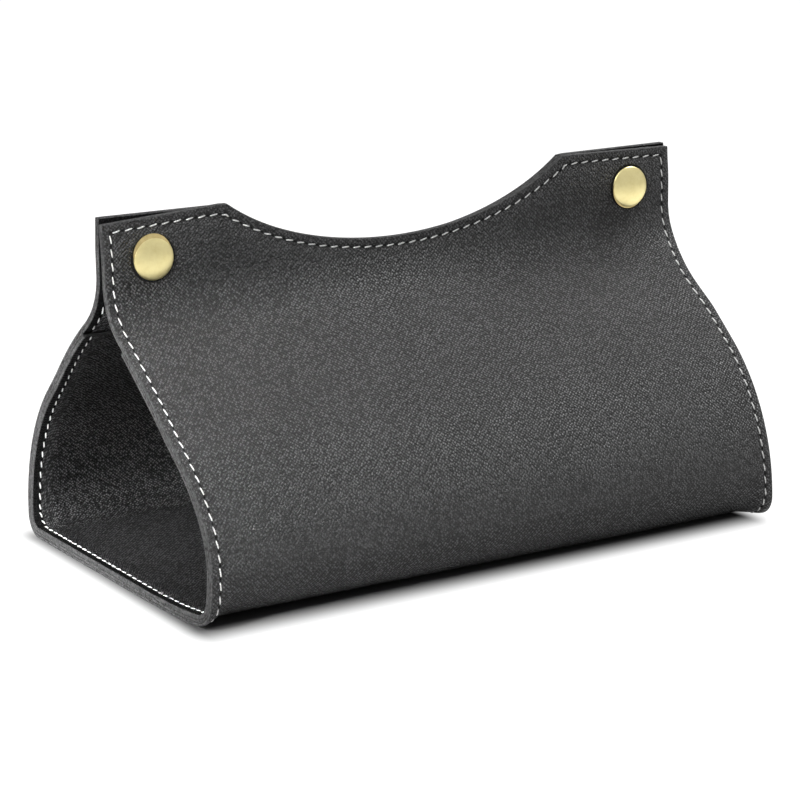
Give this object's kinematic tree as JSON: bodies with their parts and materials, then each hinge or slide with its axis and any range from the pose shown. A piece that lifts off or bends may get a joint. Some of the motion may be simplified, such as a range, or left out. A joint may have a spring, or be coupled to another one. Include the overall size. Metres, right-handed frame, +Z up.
{
  "type": "tissue box holder",
  "caption": "Folded leather tissue box holder: a flat base and ogee walls that meet in upright strips with a long notch, closed by brass press studs.",
  "frame": {"origin": "middle of the underside of the base, on the surface that the holder stands on", "axes": "+X along the folds, +Y from the front wall with the caps to the back wall, +Z up"},
  "size_m": [0.242, 0.1422, 0.132],
  "materials": {
    "outer_leather": "fine pebbled, satin",
    "backing_leather": "smooth, matt",
    "lining_leather": "fine pebbled, matt",
    "gold_brass": "polished",
    "plain_brass": "satin",
    "spring_steel": "drawn wire"
  },
  "bodies": {
    "base": {"base_outer_leather": "outer_leather", "base_backing": "backing_leather", "base_lining": "lining_leather"},
    "front_wall": {"front_outer_leather": "outer_leather", "front_backing": "backing_leather", "front_lining": "lining_leather", "left_snap_cap": "gold_brass", "left_cap_post": "plain_brass", "left_snap_socket": "plain_brass", "left_socket_spring": "spring_steel", "right_snap_cap": "gold_brass", "right_cap_post": "plain_brass", "right_snap_socket": "plain_brass", "right_socket_spring": "spring_steel"},
    "back_wall": {"back_outer_leather": "outer_leather", "back_backing": "backing_leather", "back_lining": "lining_leather", "left_snap_stud": "plain_brass", "left_stud_eyelet": "gold_brass", "right_snap_stud": "plain_brass", "right_stud_eyelet": "gold_brass"}
  },
  "joints": [
    {"name": "front_fold", "type": "hinge", "parent": "base", "child": "front_wall", "pos_m": [0, -0.0711, 0.00814], "axis": [1, 0, 0], "range_deg": [0, 115]},
    {"name": "back_fold", "type": "hinge", "parent": "base", "child": "back_wall", "pos_m": [0, 0.0711, 0.00814], "axis": [-1, 0, 0], "range_deg": [0, 115]}
  ]
}
